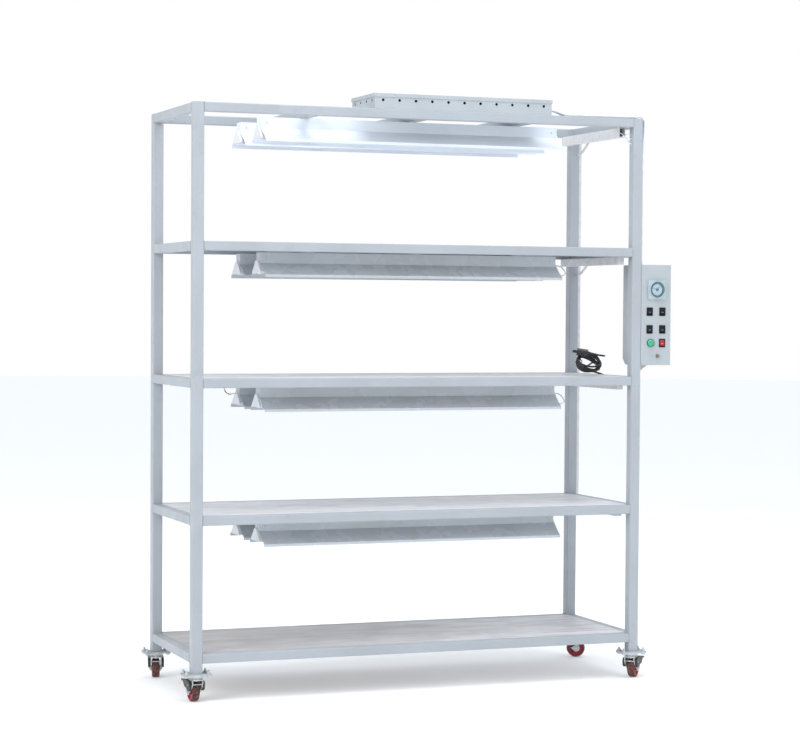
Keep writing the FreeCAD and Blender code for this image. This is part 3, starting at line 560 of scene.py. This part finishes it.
def coat_wiring():
    """White sheathed cables, and one colour for each loose lead in order of place."""
    inside_posts = at(880, 0, 0).x
    below_top_duct = at(0, 0, 2190).z
    top_lamps = at(0, 0, 2000).z
    mesh = nodes["wiring_cables"].data
    mesh.materials.clear()
    for material in [cable_white] + leads:
        mesh.materials.append(material)
    loose = []
    for faces in islands(mesh):
        middle = sum((face.center for face in faces), Vector()) / len(faces)
        if middle.x < inside_posts and middle.z < below_top_duct:
            loose.append((middle, faces))
    loose.sort(key=lambda piece: (piece[0].z > top_lamps, piece[0].x, piece[0].z))
    order = ["lead_red", "lead_tan", "lead_olive", "lead_cream", "lead_brown", "lead_orange", "lead_grey"]
    names = list(lead_colours)
    for (middle, faces), name in zip(loose, order):
        for face in faces:
            face.material_index = 1 + names.index(name)


coat_wiring()


# ---------------------------------------------------------------- small details
half_width = 915.0
half_depth = 310.0
post_size = 40.0
rail_size = 35.0
level_tops = (180.0, 690.0, 1198.0, 1705.0, 2214.0)
lamp_rows = (-132.0, 132.0)
spine_half_width = 25.0
panel_x = 980.0
panel_top = 1640.0
timer_drop = 98.0
fuse_drop = 360.0


def weld_seam(data, corners, draw):
    """One bead round the end of a rail, uneven in size along its run."""
    places = []
    for first, second in zip(corners, corners[1:] + corners[:1]):
        for step in range(6):
            places.append(first.lerp(second, step / 6))
    spline = data.splines.new("POLY")
    spline.points.add(len(places) - 1)
    spline.use_cyclic_u = True
    for point, place in zip(spline.points, places):
        point.co = (*place, 1.0)
        point.radius = draw.uniform(0.75, 1.25)


def weld_seams():
    """Beads where every rail meets its uprights."""
    sink = 0.3
    clear_of_post = 0.4
    data = bpy.data.curves.new("weld_seams", "CURVE")
    data.dimensions = "3D"
    data.bevel_depth = 1.3 * mm
    data.bevel_resolution = 1
    draw = random.Random(5)
    for top in level_tops:
        for sx in (-1, 1):
            for sy in (-1, 1):
                x = sx * (half_width - post_size - clear_of_post)
                y = sy * (half_depth - post_size - clear_of_post)
                outer_x = sx * (half_width - sink)
                inner_x = sx * (half_width - rail_size + sink)
                outer_y = sy * (half_depth - sink)
                inner_y = sy * (half_depth - rail_size + sink)
                upper = top - sink
                lower = top - rail_size + sink
                weld_seam(data, [
                    at(x, outer_y, upper), at(x, inner_y, upper), at(x, inner_y, lower),
                    at(x, outer_y, lower)], draw)
                weld_seam(data, [
                    at(outer_x, y, upper), at(inner_x, y, upper), at(inner_x, y, lower),
                    at(outer_x, y, lower)], draw)
    data.materials.append(weld_paint)
    seams = bpy.data.objects.new("weld_seams", data)
    bpy.context.scene.collection.objects.link(seams)
    ride(seams)


def screw_head(name, place, material, radius):
    """A low domed head on a face that looks to the front."""
    profile = [(-0.6, radius), (0.5, radius), (1.1, radius * 0.82), (1.5, radius * 0.45)]
    ride(lathe(name, place, Vector((0, -1, 0)), profile, material, 20))


def spine_screws():
    """A fixing screw near each end of every lamp's spine, on its front face."""
    reach = 588.0
    drop = 56.0
    for level, top in enumerate(level_tops[1:], start=2):
        for row, y in enumerate(lamp_rows, start=1):
            for end, x in (("left", -reach), ("right", reach)):
                name = "spine_screw_%d_%d_%s" % (level, row, end)
                screw_head(name, at(x, y - spine_half_width, top - drop), zinc, 3.2)


def flat_bar(shape, middle, turn, size):
    """A thin block whose broad side looks along the turned y axis."""
    corners = []
    for sx in (-0.5, 0.5):
        for sy in (-0.5, 0.5):
            for sz in (-0.5, 0.5):
                offset = Vector((sx * size[0], sy * size[1], sz * size[2])) * mm
                corners.append(shape.verts.new(middle + turn @ offset))
    for ring in ((0, 1, 3, 2), (4, 6, 7, 5), (0, 4, 5, 1), (2, 3, 7, 6), (0, 2, 6, 4), (1, 5, 7, 3)):
        shape.faces.new([corners[index] for index in ring])


def timer_marks():
    """Hour marks on the turning ring, and a pair of hands on the disc inside it."""
    middle = at(panel_x, -half_depth, panel_top - timer_drop)
    mark_end = 29.4
    marks = bmesh.new()
    for hour in range(24):
        turn = Matrix.Rotation(math.radians(hour * 15.0), 3, "Y")
        long_mark = 5.0 if hour % 6 == 0 else 3.2
        offset = Vector((0, -11.1, mark_end - long_mark / 2)) * mm
        flat_bar(marks, middle + turn @ offset, turn, (0.9, 0.4, long_mark))
    ride(finished_mesh("timer_marks", marks, timer_face), "timer_dial")
    hands = bmesh.new()
    for angle, reach, width in ((38.0, 12.0, 2.0), (-70.0, 18.0, 1.3)):
        turn = Matrix.Rotation(math.radians(angle), 3, "Y")
        flat_bar(hands, middle + turn @ (Vector((0, -7.9, 4 + reach / 2)) * mm), turn, (width, 0.6, reach))
    ride(finished_mesh("timer_hands", hands, timer_ring), "timer_dial")


def rocker_marks():
    """A short grey bar let into the face of each rocker key."""
    keys = numbered("rocker_%d", 4) + ["main_switch_rocker"]
    carriers = numbered("rocker_%d", 4) + ["main_switch"]
    for key, carrier in zip(keys, carriers):
        middle = (low(key) + high(key)) / 2
        start = Vector((middle.x, low(key).y - 50 * mm, middle.z - 3 * mm))
        hit, place, normal, face = nodes[key].ray_cast(start, Vector((0, 1, 0)))
        if not hit:
            continue
        shape = bmesh.new()
        flat_bar(shape, place, (-normal).to_track_quat("Y", "Z").to_matrix(), (7.0, 0.4, 1.2))
        ride(finished_mesh(key + "_mark", shape, zinc), carrier)


weld_seams()
spine_screws()
timer_marks()
rocker_marks()
dot_place = at(panel_x - 16.0, -half_depth, panel_top - fuse_drop)
screw_head("panel_dot", dot_place, ballast_grey, 2.6)


# ---------------------------------------------------------------- stage and light
def make_stage():
    mesh = bpy.data.meshes.new("floor")
    shape = bmesh.new()
    bmesh.ops.create_circle(shape, cap_ends=True, segments=96, radius=40.0)
    shape.to_mesh(mesh)
    shape.free()
    floor = bpy.data.objects.new("floor", mesh)
    floor.location.z = cad_bounds[0].z - 0.5 * mm
    bpy.context.scene.collection.objects.link(floor)
    paper = paint("floor_paper", (0.90, 0.90, 0.90), (0.89, 0.89, 0.895), 0.8, 1.5, 0.0)
    paper.node_tree.nodes["Principled BSDF"].inputs["Emission Color"].default_value = (1.0, 1.0, 1.0, 1.0)
    paper.node_tree.nodes["Principled BSDF"].inputs["Emission Strength"].default_value = 0.18
    mesh.materials.append(paper)


def make_light(name, place, aim, size, power, colour):
    data = bpy.data.lights.new(name, "AREA")
    data.shape = "DISK"
    data.size = size
    data.energy = power
    data.color = colour
    light = bpy.data.objects.new(name, data)
    light.location = place
    light.rotation_mode = "QUATERNION"
    light.rotation_quaternion = (aim - place).to_track_quat("-Z", "Y")
    bpy.context.scene.collection.objects.link(light)


def make_dome():
    """An even pale dome, a little cooler overhead than at the horizon."""
    world = bpy.data.worlds.new("dome")
    bpy.context.scene.world = world
    world.use_nodes = True
    tree = world.node_tree
    background = tree.nodes["Background"]
    split = tree.nodes.new("ShaderNodeSeparateXYZ")
    place = tree.nodes.new("ShaderNodeTexCoord")
    tree.links.new(place.outputs["Generated"], split.inputs["Vector"])
    height = limited(tree, split.outputs["Z"], 0.0, 0.9)
    tree.links.new(mixed(tree, height, (1.0, 1.0, 1.0), (0.86, 0.93, 1.0)), background.inputs["Color"])
    background.inputs["Strength"].default_value = 0.92
    bright = tree.nodes.new("ShaderNodeBackground")
    bright.inputs["Color"].default_value = (1.0, 1.0, 1.0, 1.0)
    bright.inputs["Strength"].default_value = 1.0
    seen = tree.nodes.new("ShaderNodeLightPath")
    choice = tree.nodes.new("ShaderNodeMixShader")
    tree.links.new(seen.outputs["Is Camera Ray"], choice.inputs["Fac"])
    tree.links.new(background.outputs["Background"], choice.inputs[1])
    tree.links.new(bright.outputs["Background"], choice.inputs[2])
    tree.links.new(choice.outputs["Shader"], tree.nodes["World Output"].inputs["Surface"])


make_stage()
make_dome()
target = at(0, 0, 1100)
make_light("key_left", at(-5200, -3200, 4200), target, 3.5, 175.0, (1.0, 0.99, 0.97))
make_light("fill_right", at(3600, -4800, 2600), target, 3.0, 30.0, (0.95, 0.98, 1.0))
make_light("fill_top", at(400, -1500, 6000), target, 4.0, 160.0, (0.93, 0.97, 1.0))
bpy.context.scene.view_settings.view_transform = "Standard"
